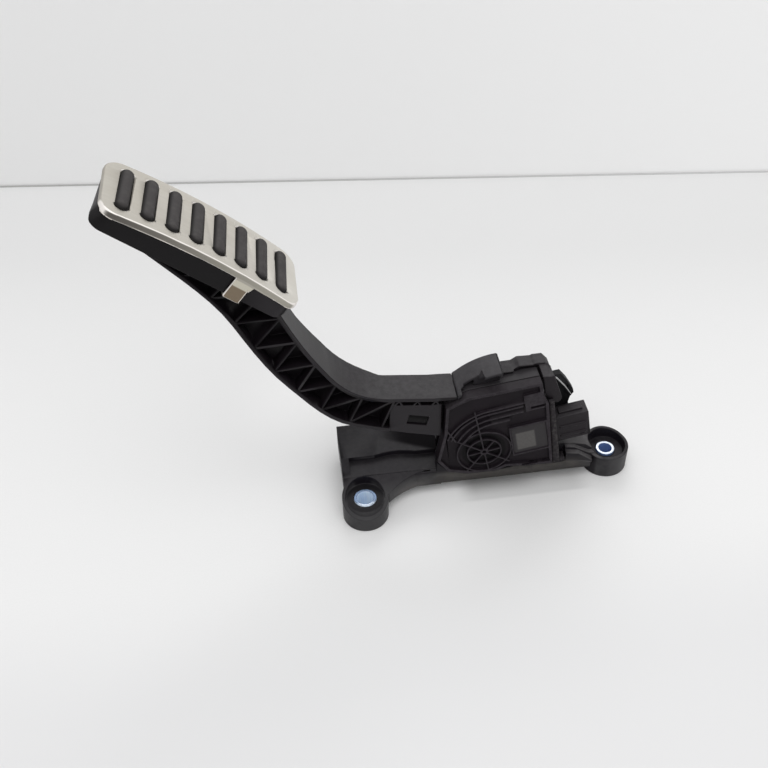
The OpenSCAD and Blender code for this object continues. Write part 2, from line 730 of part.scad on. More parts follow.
// Cap over the spring chamber with an undercut near edge and a hanging tongue.
cap_z = 91.5;
cap_t = 2;
module rear_hood() {
    far_y = tray_y + side_t - 0.4;
    color([0.17, 0.17, 0.17]) difference() {
        union() {
            difference() {
                slab(2.2, far_y) polygon([
                    [-74.6, 86.3], [-74.6, 88.6], [-66.4, 89], [-62.8, cap_z], [-54.2, cap_z - 0.3],
                    [-53.4, cap_z + 0.4], [-47, cap_z + 0.6], [-44.3, 87.6], [-41.2, 79], [-45.6, 79],
                    [-47.6, 85], [-51.8, 89], [-52.6, 89.1]
                ]);
                // Undercut below the near edge
                slab(1, 7) polygon([[-65.5, 87.2], [-61.8, 89.4], [-52, 89.4], [-50.5, 88.4], [-53, 88.2]]);
            }
            // Web over the near part of the roof
            slab(0.6, 2.3) polygon([[-74.6, 86.4], [-74.6, 88.6], [-66.4, 89], [-66.4, 87.6]]);
            // Hanging tongue
            slab(-9.2, -7.2) {
                polygon([
                    [-50.8, 90.4], [-49.4, 82.2], [-47.8, 70], [-46.6, 68.4], [-42, 68.2], [-38.5, 72],
                    [-38.9, 73.6], [-41.2, 80.4], [-44, 88.6], [-44.6, 90.4]
                ]);
                translate([-41.8, 71.4]) circle(3.25);
            }
            slab(-9.2, 2.4) polygon([[-50.8, 88.6], [-50.8, 90.6], [-47.2, 90.6], [-44.6, 89.4], [-44, 87.6]]);
        }
        below_roof();
    }
}

// Clip on the far right corner that holds the car's wiring.
module harness_clip() {
    color([0.1, 0.1, 0.1]) {
        // Plate with a finger's notch and the hole for the wiring's pin
        slab(6.4, tray_y + side_t - 1) difference() {
            polygon([
                [-44.5, 60], [-46, 71.6], [-41, 76.4], [-34.6, 77.4], [-30.1, 71.5], [-25.3, 63.2], [-24.6, 60.3],
                [-26.5, 57.6], [-27.5, 52.9], [-26.6, 46.4], [-42.4, 46], [-43.4, 52]
            ]);
            translate([-30.2, 66.2]) circle(1.5);
            polygon([[-41.5, 62], [-42, 69], [-38, 69.5], [-35.5, 62]]);
        }
        // Strap along its upper edge
        slab(4, 8.4) for (k = [0:len(strap_line) - 2]) strip(strap_line[k], strap_line[k + 1], 1.3);
        slab(4, 8.4) for (p = strap_line) translate(p) circle(0.65);
    }
}
strap_line = [[-40.4, 77.6], [-37.4, 75.2], [-32.5, 68.9], [-27.4, 60.6]];

// Sensor cover: rim, spider of ribs around the hub, long curved ribs and the bare label field.
cover_line = [
    [-107.7, 20.2], [-115, 31], [-110.8, 54], [-110.2, 75.8], [-105, 79.2], [-96, 83.6], [-52, 89.2],
    [-50, 79], [-46.6, 71.8], [-39.4, 17.6], [-60, 18.6], [-70, 19.4], [-76, 16.4], [-94, 16.4]
];
cover_core = [
    [-106.6, 22.4], [-112.9, 31.4], [-108.8, 54], [-108.2, 74.8], [-104.1, 77.4], [-95.6, 81.4], [-53.8, 86.8],
    [-52, 78.6], [-48.6, 71.4], [-41.6, 19.8], [-60, 20.6], [-70.6, 21.4], [-76.8, 18.4], [-93.4, 18.4]
];
hub_c = [pivot_x, pivot_z];
face_y = cover_y + spider_d;
module ring_2d(r, t) {
    difference() {
        circle(r + t / 2);
        circle(r - t / 2);
    }
}
module spoke(a, r0, r1) {
    translate(hub_c) rotate(a) translate([r0, -spider_t / 2]) square([r1 - r0, spider_t]);
}
module spider() {
    hub_r = 2.6;
    translate(hub_c) {
        circle(hub_r);
        ring_2d(ring_in_r, spider_t);
        ring_2d(ring_out_r, spider_t);
    }
    // Spoke ends: most stop at a ring, one climbs to the curved ribs and one to the cover's edge
    over = ring_out_r + 3.2;
    ends = [ring_in_r, ring_in_r, 36.5, 21.5, ring_in_r, over, over, over];
    for (k = [0:spoke_n - 1])
        spoke(k * 360 / spoke_n + 12, hub_r - 0.5, k < len(ends) ? ends[k] : ring_in_r);
}
// Long ribs that run round the hub and then straight to the right.
rib_tilt = sensor_tilt + 1;
long_rib_t = 1.1;
module long_rib(r, end_x) {
    cx = -77;
    cz = 37;
    translate([cx, cz]) intersection() {
        ring_2d(r, long_rib_t);
        polygon([[0, 0], [-80 * cos(20), 80 * sin(20)], [-80, 90], [-90 * tan(rib_tilt - 1), 90]]);
    }
    a = 90 + rib_tilt;
    p = [cx + r * cos(a), cz + r * sin(a)];
    strip(p, [end_x, p[1] + (end_x - p[0]) * tan(rib_tilt)], long_rib_t + 0.1);
}
label_c = [-56.2, 43];
module label_frame(w, h) {
    translate(label_c) rotate(sensor_tilt) square([w, h], center = true);
}
module sensor_cover() {
    color([0.15, 0.15, 0.15]) difference() {
        union() {
            // Face
            slab(face_y, face_y + face_t) polygon(cover_line);
            // Rim and side walls
            slab(cover_y, near_wall_y - seal_t) difference() {
                polygon(cover_line);
                polygon(cover_core);
            }
            slab(cover_y, face_y + eps) intersection() {
                polygon(cover_line);
                union() {
                    spider();
                    long_rib(22.4, -70);
                    long_rib(26.6, -62);
                    long_rib(31.2, -62.4);
                    long_rib(33.8, -60.5);
                    // Edge of the upper left corner
                    strip([-103.5, 46.6], [-109.8, 58], 1);
                    // Clip pocket at the upper right
                    translate([-55.6, 74.4]) rotate(sensor_tilt) difference() {
                        square([12.2, 13.6], center = true);
                        translate([1.6, -4.6]) square([8.6, 1.9], center = true);
                    }
                    // Frame of the label field
                    difference() {
                        label_frame(24.5, 25.5);
                        label_frame(22.3, 23.3);
                    }
                }
            }
            // Bare label field
            slab(cover_y + 1, face_y + eps) label_frame(22.6, 23.6);
        }
        pin_window();
        // Hub's centre hole, blind
        axle(pivot_x, pivot_z, 1.3, cover_y - 1, face_y);
        // Snap slots in the lower rim
        slab(cover_y - 1, face_y + 0.4) {
            translate([-54.5, 19.7]) rotate(3) square([10, 1.3], center = true);
            translate([-43.6, 20.6]) rotate(8) square([5, 1.3], center = true);
        }
    }
}
module cover_seal() {
    color([0.35, 0.18, 0.12]) slab(near_wall_y - seal_t, near_wall_y) difference() {
        polygon(seal_outer);
        polygon(cover_core);
    }
}
seal_outer = [
    [-107.1, 21.4], [-113.9, 31.2], [-109.7, 54], [-109.1, 75.2], [-104.4, 78.2], [-95.8, 82.4], [-52.8, 87.8],
    [-51, 79], [-47.6, 71.6], [-40.6, 18.8], [-60, 19.6], [-70.4, 20.4], [-76.4, 17.4], [-93.8, 17.4]
];

// Connector: flange along the cover's edge and a tilted shroud with side grooves.
plug_x = -36.2;
plug_z = 33.6;
plug_y = -9;
module plug_frame() {
    translate([plug_x, 0, plug_z]) rotate([0, -sensor_tilt, 0]) children();
}
socket_floor = 6;
module connector_shroud() {
    y1 = plug_y + plug_w;
    pins_low = pin_z(0) - 1.2;
    pins_h = pin_z(pin_n - 1) - pin_z(0) + 2.4;
    color([0.14, 0.14, 0.14]) difference() {
        union() {
            slab(cover_y + 0.6, near_wall_y - seal_t) polygon(flange_line_2d);
            plug_frame() {
                // Foot of the flange
                slab(-12, near_wall_y - seal_t) translate([-2, -16.4]) square([4.4, 3.6]);
                // Shroud
                translate([-1, plug_y, 0]) cube([plug_l + 1, plug_w, plug_h]);
                // Top latch rail, side ribs and stop
                translate([3, plug_y + 3, plug_h - eps]) cube([plug_l - 6, plug_w - 6, 1.6]);
                for (k = [0:1]) translate([2, plug_y - 0.9, 3.4 + k * 7.6]) cube([plug_l - 4.5, 1, 1.6]);
                translate([plug_l - 6, plug_y - 0.9, 0.8]) cube([2, 1, 2]);
            }
        }
        // Room for the hanging tongue behind the flange's upper end
        slab(-9.4, 0) polygon([[-60, 66.6], [-40, 66.6], [-40, 90], [-60, 90]]);
        plug_frame() {
            // Socket for the plug
            translate([socket_floor, plug_y + plug_t, plug_t])
                cube([plug_l, plug_w - 2 * plug_t, plug_h - 2 * plug_t]);
            for (k = [0:pin_n - 1])
                translate([-6, pin_y - 0.32, pin_z(k) - 0.32]) cube([socket_floor + 8, 0.64, 0.64]);
            // Pocket in which the pins step across to the board
            translate([-7, jog_y - 0.7, pins_low]) cube([5.8, pin_y - jog_y + 1.4, pins_h]);
        }
    }
}
flange_line_2d = [[-46.2, 71.9], [-39, 17.4], [-34.2, 17.2], [-36.3, 31], [-43, 72.3]];
jog_y = near_wall_y - 2;
module pin_window() {
    plug_frame() translate([-9, jog_y - 0.7, pin_z(0) - 1.2])
        cube([7.7, 9, pin_z(pin_n - 1) - pin_z(0) + 2.4]);
}
pin_y = plug_y + plug_w / 2;
pin_pitch = 2.54;
function pin_z(k) = plug_h / 2 + (k - (pin_n - 1) / 2) * pin_pitch;
board_y = face_y + face_t + 0.05;
module connector_pins() {
    color([0.8, 0.78, 0.7]) plug_frame() for (k = [0:pin_n - 1]) {
        translate([-2.2, pin_y - 0.3, pin_z(k) - 0.3]) cube([plug_l - 3, 0.6, 0.6]);
        translate([-2.2, jog_y - 0.3, pin_z(k) - 0.3]) cube([0.6, pin_y - jog_y + 0.6, 0.6]);
        translate([-9, jog_y - 0.3, pin_z(k) - 0.3]) cube([7.4, 0.6, 0.6]);
        translate([-9, board_y + board_t, pin_z(k) - 0.3]) cube([0.6, jog_y - board_y - board_t, 0.6]);
    }
}

// Circuit board with its two field sensors in front of the magnet.
board_t = 1;
module sensor_board() {
    color([0.1, 0.35, 0.2]) slab(board_y, board_y + board_t) difference() {
        polygon([[-98, 24], [-98, 46], [-90, 50], [-48, 57], [-44, 34], [-66, 24]]);
        for (p = [[-95, 43], [-51, 40]]) translate(p) circle(1.2);
    }
}
module hall_chips() {
    color([0.08, 0.08, 0.08]) for (s = [-1, 1])
        slab(board_y + board_t, board_y + board_t + 0.6)
            translate([pivot_x + s * 3, pivot_z]) square([4, 5], center = true);
}
magnet_y = near_wall_y - 2.1;
module magnet_carrier() {
    color([0.2, 0.2, 0.22]) difference() {
        axle(pivot_x, pivot_z, 7.4, magnet_y, near_wall_y - 0.3);
        axle(pivot_x, pivot_z, 5.22, magnet_y - 1, magnet_y + 1);
        axle(pivot_x, pivot_z, shaft_r + 0.02, magnet_y - 1, near_wall_y + 1);
    }
}
module magnet() {
    color([0.4, 0.4, 0.42]) difference() {
        axle(pivot_x, pivot_z, 5.2, magnet_y + 0.1, magnet_y + 1);
        axle(pivot_x, pivot_z, shaft_r + 0.04, magnet_y - 1, magnet_y + 2);
    }
}

// Return springs between the arm's lever and the tray's roof.
spring_y = (near_wall_y + wall - 0.5 + tray_y) / 2;
seat_t = 2.4;
spring_foot = lever_top + seat_t;
spring_head = 82.6;
function coil_point(r, z, a, q, w) = let (
        ring = r + w / 2 * cos(q)
    ) [ring * cos(a), ring * sin(a), z + w / 2 * sin(q)];
module coil(r, w, n, len) {
    sides = 8;
    steps = 20;
    rings = n * steps;
    points = [for (i = [0:rings], j = [0:sides - 1])
        coil_point(r, w / 2 + (len - w) * i / rings, i * 360 / steps, j * 360 / sides, w)];
    faces = concat(
        [for (i = [0:rings - 1], j = [0:sides - 1])
            [i * sides + j, i * sides + (j + 1) % sides, (i + 1) * sides + (j + 1) % sides, (i + 1) * sides + j]],
        [[for (j = [sides - 1:-1:0]) j]],
        [[for (j = [0:sides - 1]) rings * sides + j]]
    );
    polyhedron(points, faces);
}
module outer_spring() {
    color([0.6, 0.6, 0.62]) translate([spring_x, spring_y, spring_foot])
        coil(spring_r, wire_d, turns, spring_head - spring_foot);
}
module inner_spring() {
    color([0.6, 0.6, 0.62]) translate([spring_x, spring_y, spring_foot])
        coil(inner_r, inner_d, inner_turns, spring_head - spring_foot);
}
module spring_seat() {
    color([0.5, 0.5, 0.48]) translate([spring_x, spring_y, lever_top]) {
        cylinder(r = spring_r + 0.6, h = seat_t);
        cylinder(r = inner_r - inner_d / 2 - 0.25, h = seat_t + 4);
    }
}

// Friction shoe that bears on the drum and gives the pedal its feel.
shoe_t = 3;
module friction_shoe() {
    color([0.75, 0.72, 0.62]) slab(drum_near, drum_far) intersection() {
        difference() {
            translate([pivot_x, pivot_z]) circle(drum_r + shoe_t + 0.3);
            translate([pivot_x, pivot_z]) circle(drum_r + 0.3);
        }
        polygon([[pivot_x, pivot_z], [pivot_x - 3, 8], [pivot_x + 18, 8]]);
    }
}
module bump_stop() {
    color([0.1, 0.1, 0.1]) slab(drum_near, drum_far)
        polygon([[-56, 35], [-56, 40], [-55, lever_rest - 0.1], [-49, lever_rest - 0.1], [-48, 40], [-48, 35]]);
}

base_housing();
side_cover();
side_cover_screws();
sleeve_near_left();
sleeve_far_left();
sleeve_right();
pedal_arm();
pad_plate();
rubber_insert();
front_hood();
rear_hood();
harness_clip();
sensor_cover();
cover_seal();
connector_shroud();
connector_pins();
sensor_board();
hall_chips();
magnet_carrier();
magnet();
pivot_shaft();
near_bush();
far_bush();
shaft_ring();
outer_spring();
inner_spring();
spring_seat();
friction_shoe();
bump_stop();
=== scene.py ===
import math

import bmesh
import bpy
from mathutils import Matrix, Vector
from mathutils.bvhtree import BVHTree
from mathutils.kdtree import KDTree


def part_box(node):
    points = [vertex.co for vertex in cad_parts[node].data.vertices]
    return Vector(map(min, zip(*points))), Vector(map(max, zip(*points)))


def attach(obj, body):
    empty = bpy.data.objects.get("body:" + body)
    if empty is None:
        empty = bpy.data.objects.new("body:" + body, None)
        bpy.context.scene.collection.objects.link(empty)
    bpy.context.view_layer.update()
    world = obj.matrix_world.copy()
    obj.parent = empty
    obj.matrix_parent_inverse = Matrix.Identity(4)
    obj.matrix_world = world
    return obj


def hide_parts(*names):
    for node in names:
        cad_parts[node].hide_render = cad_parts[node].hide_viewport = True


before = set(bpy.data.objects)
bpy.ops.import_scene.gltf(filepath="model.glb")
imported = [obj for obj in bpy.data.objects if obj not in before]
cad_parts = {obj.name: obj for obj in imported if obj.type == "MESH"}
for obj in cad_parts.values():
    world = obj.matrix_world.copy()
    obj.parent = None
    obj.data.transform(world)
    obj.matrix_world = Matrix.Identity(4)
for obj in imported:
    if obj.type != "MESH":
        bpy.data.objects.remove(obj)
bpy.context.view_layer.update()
scene = bpy.context.scene
scene.view_settings.view_transform = "Standard"

# Camera
# The photograph was taken by hand from above and in front. The lens, the place and the small roll
# were fitted to the feet, the tread and the upright edges of the sensor cover.
photo_width_px, focal_px, sensor_mm = 768, 1002.6, 36
camera_place = (-0.19411, -0.44006, 0.49517)
look_down = math.radians(42.45)
look_right = math.radians(6.25)
roll = math.radians(1.788)
forward_flat = Vector((math.sin(look_right), math.cos(look_right), 0))
forward = forward_flat * math.cos(look_down) - Vector((0, 0, math.sin(look_down)))
level_right = Vector((math.cos(look_right), -math.sin(look_right), 0))
level_down = forward.cross(level_right)
right = level_right * math.cos(roll) + level_down * math.sin(roll)
down = level_down * math.cos(roll) - level_right * math.sin(roll)
lens = bpy.data.cameras.new("camera")
lens.sensor_width = sensor_mm
lens.lens = sensor_mm * focal_px / photo_width_px
lens.clip_end = 20
camera = bpy.data.objects.new("camera", lens)
turn = Matrix((right, -down, -forward)).transposed().to_4x4()
camera.matrix_world = Matrix.Translation(camera_place) @ turn
scene.collection.objects.link(camera)
scene.camera = camera


# Floor, wall and light
# The part stands on a white board in front of a white panel, under a broad soft light from above
# in front and a weaker one from behind. The panel's foot shows as a thin grey line.
class Value:
    """A shader number: wraps a socket so that plain arithmetic adds its Math nodes."""

    def __init__(self, tree, socket):
        self.tree, self.socket = tree, socket

    def _join(self, kind, a, b):
        n = self.tree.nodes.new("ShaderNodeMath")
        n.operation = kind
        for i, v in enumerate((a, b)):
            if isinstance(v, Value):
                self.tree.links.new(v.socket, n.inputs[i])
            else:
                n.inputs[i].default_value = v
        return Value(self.tree, n.outputs[0])

    def __add__(self, other):
        return self._join("ADD", self, other)

    def __radd__(self, other):
        return self._join("ADD", other, self)

    def __sub__(self, other):
        return self._join("SUBTRACT", self, other)

    def __rsub__(self, other):
        return self._join("SUBTRACT", other, self)

    def __mul__(self, other):
        return self._join("MULTIPLY", self, other)

    def __rmul__(self, other):
        return self._join("MULTIPLY", other, self)

    def __pow__(self, other):
        return self._join("POWER", self, other)

    def clamped(self):
        return self._join("MINIMUM", self._join("MAXIMUM", self, 0.0), 1.0)

    def ramp(self, low, high):
        """0 below low, 1 above high and smooth between; low may be the larger of the two."""
        n = self.tree.nodes.new("ShaderNodeMapRange")
        n.interpolation_type = "SMOOTHSTEP"
        flip = low > high
        for key, v in (("From Min", min(low, high)), ("From Max", max(low, high)),
                       ("To Min", float(flip)), ("To Max", float(not flip))):
            n.inputs[key].default_value = v
        self.tree.links.new(self.socket, n.inputs["Value"])
        return Value(self.tree, n.outputs["Result"])

    def within(self, low, high, edge):
        """1 between low and high, fading to 0 over a short edge inside both."""
        return self.ramp(low, low + edge) * self.ramp(high, high - edge)


class Finish:
    """One material's node tree, with a single method that makes any node.

    x, y and z are the place on the piece, and side, near and up are its face's direction.
    """

    def __init__(self, name):
        self.material = bpy.data.materials.new(name)
        self.material.use_nodes = True
        self.tree = self.material.node_tree
        self.shader = self.tree.nodes["Principled BSDF"]
        self.place = self.node("TexCoord", {}, {}, "Object")
        self.x, self.y, self.z = (self.node("SeparateXYZ", {}, {"Vector": self.place}, i) for i in range(3))
        faces = self.node("TexCoord", {}, {}, "Normal")
        self.side, self.near, self.up = (self.node("SeparateXYZ", {}, {"Vector": faces}, i) for i in range(3))

    def node(self, kind, settings, inputs, out=0):
        n = self.tree.nodes.new("ShaderNode" + kind)
        for key, value in settings.items():
            setattr(n, key, value)
        for key, value in inputs.items():
            self.set(n.inputs[key], value)
        return Value(self.tree, n.outputs[out])

    def set(self, socket, value):
        if isinstance(value, Value):
            self.tree.links.new(value.socket, socket)
        else:
            socket.default_value = value

    def surface(self, **inputs):
        for key, value in inputs.items():
            self.set(self.shader.inputs[key.replace("_", " ")], value)
        return self.material

    def noise(self, scale, detail=3.0, rough=0.5, stretch=(1, 1, 1)):
        at = self.node("Mapping", {}, {"Vector": self.place, "Scale": stretch})
        return self.node("TexNoise", {}, {"Vector": at, "Scale": scale, "Detail": detail, "Roughness": rough})

    def blend(self, mask, a, b):
        """Mixes two colours by a mask; each is a socket or red, green and blue."""
        a, b = (c if isinstance(c, Value) else (*c, 1) for c in (a, b))
        return self.node("Mix", {"data_type": "RGBA"}, {0: mask, 6: a, 7: b}, 2)

    def distance(self, axis_a, at_a, axis_b, at_b):
        """How far a place is from a point, seen along the third axis."""
        return ((axis_a - at_a) ** 2.0 + (axis_b - at_b) ** 2.0) ** 0.5

    def bump(self, height, strength, distance):
        return self.node("Bump", {}, {"Height": height, "Strength": strength, "Distance": distance})


def grey(shade):
    return (shade, shade, shade)


def flat_mesh(name, corners):
    mesh = bpy.data.meshes.new(name)
    mesh.from_pydata([tuple(c) for c in corners], [], [tuple(range(len(corners)))])
    piece = bpy.data.objects.new(name, mesh)
    scene.collection.objects.link(piece)
    return mesh


floor_half, floor_drop = 3.0, 0.0001
floor = flat_mesh("floor", [(x * floor_half, y * floor_half, -floor_drop)
                            for x, y in ((-1, -1), (1, -1), (1, 1), (-1, 1))])
wall_left, wall_right = Vector((-0.454, 0.428, 0)), Vector((0.251, 0.335, 0))
along = (wall_right - wall_left).normalized()
wall_reach, panel_height, joint_height, joint_gap = 3.0, 0.24, 0.0015, 0.001


def upright(name, shift, height):
    """A standing sheet along the panel's foot, shifted towards the camera."""
    ends = (wall_left - along * wall_reach, wall_right + along * wall_reach)
    foot = [end + Vector((0, -shift, 0)) for end in ends]
    return flat_mesh(name, foot + [end + Vector((0, 0, height)) for end in reversed(foot)])


panel = upright("panel", 0, panel_height)
foot_line = upright("foot_line", joint_gap, joint_height)

# The board carries painted light in two paler patches beside the left foot and under the arm, is greyer
# towards the camera, and carries a painted shadow in front, where the housing throws its soft shadow.
white = Finish("white_board")
board_tone = white.blend(white.noise(900.0, 2.0), grey(0.80), grey(0.84))
# Painted light: two paler patches on the board.
for x, y, strength in ((-0.192, 0.086, 0.4), (-0.122, -0.032, 0.7)):
    pale = white.distance(white.x, x, white.y, y).ramp(0.068, 0.008)
    board_tone = white.blend(pale * strength, board_tone, grey(0.98))
board_tone = white.blend(white.y.ramp(-0.050, -0.150), board_tone, (0.755, 0.755, 0.76))
# Painted shadow of the housing on the board in front.
wide_shadow = 0.18 * white.y.ramp(-0.0235, -0.0205)
close_shadow = 0.34 * white.y.ramp(-0.020, -0.009) * (0.35 + 0.65 * white.x.ramp(-0.040, -0.065))
painted_contact_shadow = (white.x.ramp(-0.104, -0.088) * white.x.ramp(-0.010, -0.026) * white.y.ramp(0.030, 0.010)
           * (wide_shadow + close_shadow))
floor.materials.append(white.surface(
    Base_Color=white.blend(painted_contact_shadow, board_tone, (0.012, 0.011, 0.010)), Roughness=0.75))
# Painted light: the foot line and the panel both grow paler towards the right.
joint = Finish("panel_joint")
foot_line.materials.append(joint.surface(
    Base_Color=joint.blend(joint.x.ramp(-0.5, 0.3), (0.46, 0.46, 0.45), grey(0.66)), Roughness=0.9))
lining = Finish("white_panel")
panel.materials.append(lining.surface(
    Base_Color=lining.blend(lining.x.ramp(-0.7, 0.5), grey(0.84), grey(0.95)), Roughness=0.8))

world = bpy.data.worlds.new("room")
scene.world = world
world.use_nodes = True
world.node_tree.nodes["Background"].inputs["Color"].default_value = (1.0, 1.0, 1.0, 1)
world.node_tree.nodes["Background"].inputs["Strength"].default_value = 0.72


def soft_light(name, at, target, size, watts):
    lamp = bpy.data.lights.new(name, "AREA")
    lamp.shape, lamp.size, lamp.energy = "DISK", size, watts
    holder = bpy.data.objects.new(name, lamp)
    holder.location = at
    holder.rotation_euler = (Vector(target) - Vector(at)).to_track_quat("-Z", "Y").to_euler()
    scene.collection.objects.link(holder)


soft_light("ceiling", (-0.1, -0.7, 1.7), (-0.1, 0.1, 0.05), 1.6, 11)
soft_light("window", (0.15, 1.3, 1.05), (-0.12, 0, 0.05), 1.2, 7)


# Base and housing
# One glass-filled nylon moulding: deck, three feet, pivot tray and neck. It is dusty on top with a painted
# sheen, and its front skirt is pale beige, partly scuffs and partly painted light bounced up from the board.
# Painted shade darkens the left foot's recess and the deck under the arm, and painted light pales the neck's
# top and the tray's roof. Every edge that the mould leaves sharp in CAD gets its small radius here.
def softened(node, width, segments=2):
    """A copy of a CAD node's mesh with its sharp edges rounded to width.

    Where a rounded face would leave the solid's skin, the corners next to it are kept sharp and the
    rounding starts again from the plain copy.
    """
    sharp = math.radians(32)
    too_short, too_far = 0.25 * width, 0.75 * width
    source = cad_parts[node]
    plain = bmesh.new()
    plain.from_mesh(source.data)
    bmesh.ops.remove_doubles(plain, verts=plain.verts, dist=1e-5)
    bmesh.ops.dissolve_limit(plain, angle_limit=math.radians(0.6), verts=plain.verts, edges=plain.edges)
    skin = BVHTree.FromBMesh(plain)
    corners = KDTree(len(plain.verts))
    for v in plain.verts:
        corners.insert(v.co, v.index)
    corners.balance()
    kept = {v.index for v in plain.verts if min(e.calc_length() for e in v.link_edges) < too_short}
    while True:
        work = plain.copy()
        edges = [e for e in work.edges if len(e.link_faces) == 2 and e.calc_face_angle() > sharp
                 and not any(v.index in kept for v in e.verts)]
        bmesh.ops.bevel(work, geom=edges, offset=width, segments=segments, profile=0.5, affect="EDGES",
                        clamp_overlap=False)
        bmesh.ops.triangulate(work, faces=work.faces)
        astray = set()
        for face in work.faces:
            probes = [face.calc_center_median()] + [v.co for v in face.verts]
            probes += [(e.verts[0].co + e.verts[1].co) / 2 for e in face.edges]
            if any(skin.find_nearest(p)[3] > too_far for p in probes):
                astray.update(corners.find(v.co)[1] for v in face.verts)
        if astray <= kept:
            break
        kept |= astray
        work.free()
    mesh = bpy.data.meshes.new(node + "_skin")
    work.to_mesh(mesh)
    work.free()
    plain.free()
    mesh.transform(source.matrix_world)
    return mesh


def mark_open(mesh):
    """Stores on each face which share of the sky it sees past its own moulding."""
    tree = BVHTree.FromPolygons([v.co for v in mesh.vertices], [p.vertices for p in mesh.polygons])
    heights, bearings, off_skin = (0.45, 1.0), (0.4, 1.7, 2.9, 4.2, 5.4), 5e-5
    sky = [Vector((math.cos(b) * math.cos(h), math.sin(b) * math.cos(h), math.sin(h)))
           for h in heights for b in bearings] + [Vector((0, 0, 1))]
    seen = mesh.attributes.new("open_sky", "FLOAT", "FACE")
    for p, part in zip(mesh.polygons, seen.data):
        start = p.center + p.normal * off_skin
        part.value = sum(d.dot(p.normal) > 0 and tree.ray_cast(start, d)[0] is None for d in sky) / len(sky)


def dress(mesh, node, body, slot, finish):
    """Puts a mesh in place of a CAD node."""
    piece = bpy.data.objects.new(mesh.name, mesh)
    scene.collection.objects.link(piece)
    mesh.materials.clear()
    mesh.materials.append(finish.material)
    if slot in ("black_plastic", "cover_plastic"):
        mark_open(mesh)
    mesh.shade_smooth()
    mesh.set_sharp_from_angle(angle=math.radians(38))
    flat = piece.modifiers.new("flat faces", "WEIGHTED_NORMAL")
    flat.keep_sharp = True
    flat.weight = 80
    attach(piece, body)
    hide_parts(node)


def add_prism(mesh, corners, push):
    """Joins a small closed prism, a loop of corners pushed along a vector, to a mesh."""
    work = bmesh.new()
    work.from_mesh(mesh)
    low = [work.verts.new(c) for c in corners]
    high = [work.verts.new(Vector(c) + Vector(push)) for c in corners]
    sides = [work.faces.new((low[k - 1], low[k], high[k], high[k - 1])) for k in range(len(low))]
    bmesh.ops.recalc_face_normals(work, faces=sides + [work.faces.new(low[::-1]), work.faces.new(high)])
    work.to_mesh(mesh)
    work.free()


def times(factor, tone):
    return tuple(factor * c for c in tone)


def moulding(name, tone, rough, top_dust_and_sheen, hollow_shade=0.2, gloss=0.18):
    """Black moulded plastic: fine grain, cloudy tone, dusty tops with a painted sheen, painted shade in
    hollows.
    """
    m = Finish(name)
    cloud = m.noise(38.0, 4.0, 0.6)
    fine = m.noise(1500.0, 3.0, 0.65)
    open_sky = m.node("Attribute", {"attribute_name": "open_sky"}, {}, 2)
    # Dusty tops with a painted sheen, where faces look up at the sky.
    dust_and_sheen = (m.up.ramp(0.25, 0.95) * open_sky.ramp(0.35, 0.8)
               * (0.35 + 0.8 * m.noise(240.0, 6.0, 0.75).ramp(0.25, 0.8))).clamped()
    m.tone = m.blend(cloud.ramp(0.3, 0.7), times(0.82, tone), times(1.18, tone))
    # Painted shade in hollows that see little sky.
    m.tone = m.blend(open_sky.ramp(0.22, 0.0) * hollow_shade, m.tone, (0.0020, 0.0013, 0.0018))
    m.tone = m.blend(dust_and_sheen * top_dust_and_sheen, m.tone, (0.150, 0.145, 0.150))
    m.rough = rough + 0.10 * cloud + dust_and_sheen * 0.12
    m.surface(Base_Color=m.tone, Roughness=m.rough, Specular_IOR_Level=gloss,
              Normal=m.bump(fine, 0.10, 0.0003))
    return m


def middle(node):
    low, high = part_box(node)
    return (Vector(low) + Vector(high)) / 2


def part_way(value, start, length):
    """0 at start and 1 a length further on, held at both ends."""
    return min(max((value - start) / length, 0), 1)


black = (0.0074, 0.0056, 0.0072)
base = moulding("base_plastic", (0.0074, 0.0060, 0.0084), 0.36, 0.13)
left_foot = middle("sleeve_near_left")
deck_right, deck_back = -0.1122, 0.0330

# The skirt's pale beige is partly scuffs and partly painted light bounced up from the board.
skirt = (base.y.ramp(-0.0105, -0.0118) * base.z.ramp(0.021, 0.016)
         * base.noise(60.0, 4.0, 0.6).ramp(0.2, 0.6)).clamped()
under_cover = base.x.ramp(-0.122, -0.108) * base.x.ramp(-0.012, -0.024)
scuff_and_bounce_light = base.blend(under_cover, (0.046, 0.045, 0.047), (0.075, 0.069, 0.062))
base_tone = base.blend(skirt * 0.8, base.tone, scuff_and_bounce_light)
# Painted shade in the left foot's recess.
recess = base.distance(base.x, left_foot.x, base.y, left_foot.y).ramp(0.0124, 0.0112)
base_tone = base.blend(recess * 0.85, base_tone, (0.0060, 0.0052, 0.0066))
# Painted shadow of the arm on the deck.
behind_arm = (base.y + 0.45 * (base.x + 0.1195)).ramp(0.0030, 0.0075) * base.y.ramp(0.034, 0.022)
arm_shadow = (behind_arm * base.x.ramp(-0.152, -0.130) * base.x.ramp(deck_right + 0.0007, deck_right)
             * base.z.ramp(0.0225, 0.0240))
base_tone = base.blend(arm_shadow * 0.9, base_tone, (0.0016, 0.0010, 0.0018))
# Painted light on the neck's top.
neck_top_light = (base.x.ramp(-0.032, -0.026) * base.x.ramp(-0.0050, -0.0085) * base.z.ramp(0.0105, 0.0135)
            * base.up.ramp(0.1, 0.5))
base_tone = base.blend(neck_top_light * 0.75, base_tone, (0.080, 0.076, 0.078))
# Painted light on the tray's roof under the hood.
roof = base.z.ramp(0.066, 0.072) * base.y.ramp(0.006, 0.001)
base_tone = base.blend(roof * 0.85, base_tone, (0.034, 0.031, 0.034))
slope = (base.x.ramp(-0.147, -0.137) * base.x.ramp(-0.116, -0.126) * base.z.ramp(0.018, 0.009)
         * base.y.ramp(-0.008, -0.012))
base_tone = base.blend(slope * 0.6, base_tone, (0.105, 0.100, 0.096))
base.surface(Base_Color=base_tone, Roughness=base.rough + arm_shadow * 0.55)

